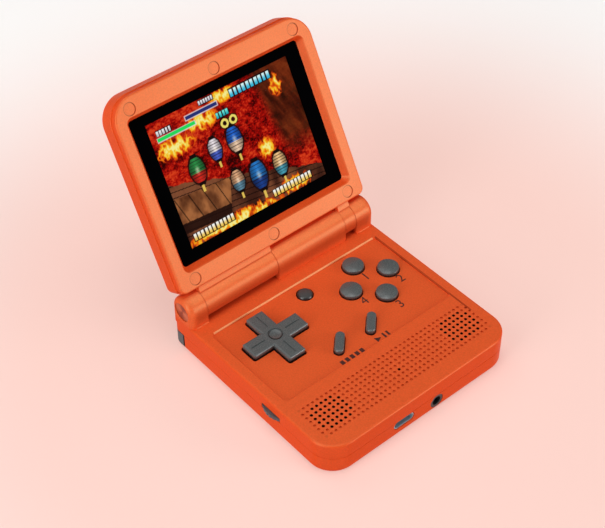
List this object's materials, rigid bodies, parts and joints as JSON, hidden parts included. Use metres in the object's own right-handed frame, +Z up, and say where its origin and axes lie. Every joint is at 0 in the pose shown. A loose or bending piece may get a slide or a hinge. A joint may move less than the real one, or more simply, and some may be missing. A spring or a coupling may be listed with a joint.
{
  "type": "clamshell handheld game console",
  "caption": "Palm-sized clamshell handheld game console: hinged lid with a framed screen over a square base with a cross pad, round keys and a perforated speaker strip.",
  "frame": {"origin": "centre of the base's underside, on the surface it stands on", "axes": "+Z up, +X to the player's right along the hinge, -Y towards the player; the lid stands open behind"},
  "size_m": [0.0864, 0.1191, 0.0879],
  "materials": {
    "shell": "fine satin texture, moulded in orange",
    "caps": "turned and lacquered orange",
    "keys": "smooth satin dark grey",
    "shoulders": "satin dark grey",
    "steel": "bright",
    "socket_metal": "drawn steel shell",
    "jack_plastic": "black",
    "board": "green solder mask",
    "battery_wrap": "plain film wrap",
    "contact_block": "gold plated",
    "black_plastic": "black",
    "speaker_body": "black",
    "silicone": "translucent silicone",
    "lens": "polished, printed black border",
    "display": "lit panel"
  },
  "bodies": {
    "base": {"base_top_shell": "shell", "base_bottom_shell": "shell", "battery_door": "shell", "battery_door_screw": "steel", "battery": "battery_wrap", "battery_contacts": "contact_block", "case_screws": "steel", "main_board": "board", "usb_c_socket": "socket_metal", "headphone_jack": "jack_plastic", "speaker_left": "speaker_body", "speaker_right": "speaker_body", "pad_membrane": "silicone", "button_membrane": "silicone", "power_switch_body": "black_plastic", "card_slot": "steel", "volume_pot": "black_plastic", "shoulder_pins": "steel", "shoulder_switches": "board", "hinge_pin": "steel", "hinge_cartridge": "steel", "hinge_cap_left": "caps", "hinge_cap_right": "caps"},
    "lid": {"lid_front_frame": "shell", "lid_back_cover": "shell", "lid_screw_covers": "shell", "lid_screws": "steel", "screen_lens": "lens", "display_panel": "display", "display_board": "board"},
    "pad_rocker": {"pad_pivot": "steel"},
    "pad": {"pad_cross": "keys"},
    "button_top_key": {"button_top": "keys"},
    "button_right_key": {"button_right": "keys"},
    "button_bottom_key": {"button_bottom": "keys"},
    "button_left_key": {"button_left": "keys"},
    "menu_button_key": {"menu_button": "keys"},
    "select_button_key": {"select_button": "keys"},
    "start_button_key": {"start_button": "keys"},
    "shoulder_left_lever": {"shoulder_left": "shoulders"},
    "shoulder_right_lever": {"shoulder_right": "shoulders"},
    "trigger_left_lever": {"trigger_left": "shoulders"},
    "trigger_right_lever": {"trigger_right": "shoulders"},
    "volume_dial": {"volume_wheel": "shoulders"},
    "power_knob": {"power_slider": "shoulders"},
    "card": {"memory_card": "black_plastic"}
  },
  "joints": [
    {"name": "lid_hinge", "type": "hinge", "parent": "base", "child": "lid", "pos_m": [0, 0.0358, 0.0187], "axis": [-1, 0, 0], "range_deg": [-119.2, 45.8]},
    {"name": "pad_tilt_y", "type": "hinge", "parent": "base", "child": "pad_rocker", "pos_m": [-0.0219, 0.0098, 0.0092], "axis": [1, 0, 0], "range_deg": [-3, 3], "stiffness_Nm_per_rad": 0.2},
    {"name": "pad_tilt_x", "type": "hinge", "parent": "pad_rocker", "child": "pad", "pos_m": [-0.0219, 0.0098, 0.0092], "axis": [0, 1, 0], "range_deg": [-3, 3], "stiffness_Nm_per_rad": 0.2},
    {"name": "button_top_press", "type": "slide", "parent": "base", "child": "button_top_key", "axis": [0, 0, -1], "range_m": [0, 0.0012], "stiffness_N_per_m": 300},
    {"name": "button_right_press", "type": "slide", "parent": "base", "child": "button_right_key", "axis": [0, 0, -1], "range_m": [0, 0.0012], "stiffness_N_per_m": 300},
    {"name": "button_bottom_press", "type": "slide", "parent": "base", "child": "button_bottom_key", "axis": [0, 0, -1], "range_m": [0, 0.0012], "stiffness_N_per_m": 300},
    {"name": "button_left_press", "type": "slide", "parent": "base", "child": "button_left_key", "axis": [0, 0, -1], "range_m": [0, 0.0012], "stiffness_N_per_m": 300},
    {"name": "menu_press", "type": "slide", "parent": "base", "child": "menu_button_key", "axis": [0, 0, -1], "range_m": [0, 0.0012], "stiffness_N_per_m": 300},
    {"name": "select_press", "type": "slide", "parent": "base", "child": "select_button_key", "axis": [0, 0, -1], "range_m": [0, 0.0012], "stiffness_N_per_m": 300},
    {"name": "start_press", "type": "slide", "parent": "base", "child": "start_button_key", "axis": [0, 0, -1], "range_m": [0, 0.0012], "stiffness_N_per_m": 300},
    {"name": "shoulder_left_press", "type": "hinge", "parent": "base", "child": "shoulder_left_lever", "pos_m": [-0.0289, 0.0389, 0.004], "axis": [0, 0, 1], "range_deg": [0, 2], "stiffness_Nm_per_rad": 0.3},
    {"name": "shoulder_right_press", "type": "hinge", "parent": "base", "child": "shoulder_right_lever", "pos_m": [0.0289, 0.0389, 0.004], "axis": [0, 0, -1], "range_deg": [0, 2], "stiffness_Nm_per_rad": 0.3},
    {"name": "trigger_left_press", "type": "hinge", "parent": "base", "child": "trigger_left_lever", "pos_m": [-0.0173, 0.0389, 0.004], "axis": [0, 0, 1], "range_deg": [0, 2], "stiffness_Nm_per_rad": 0.3},
    {"name": "trigger_right_press", "type": "hinge", "parent": "base", "child": "trigger_right_lever", "pos_m": [0.0173, 0.0389, 0.004], "axis": [0, 0, -1], "range_deg": [0, 2], "stiffness_Nm_per_rad": 0.3},
    {"name": "volume_turn", "type": "hinge", "parent": "base", "child": "volume_dial", "pos_m": [-0.03545, -0.012, 0.0086], "axis": [0, 0, 1], "range_deg": [-135, 135]},
    {"name": "power_slide", "type": "slide", "parent": "base", "child": "power_knob", "axis": [0, 1, 0], "range_m": [0, 0.0024]},
    {"name": "card_eject", "type": "slide", "parent": "base", "child": "card", "axis": [1, 0, 0], "range_m": [0, 0.013]}
  ]
}
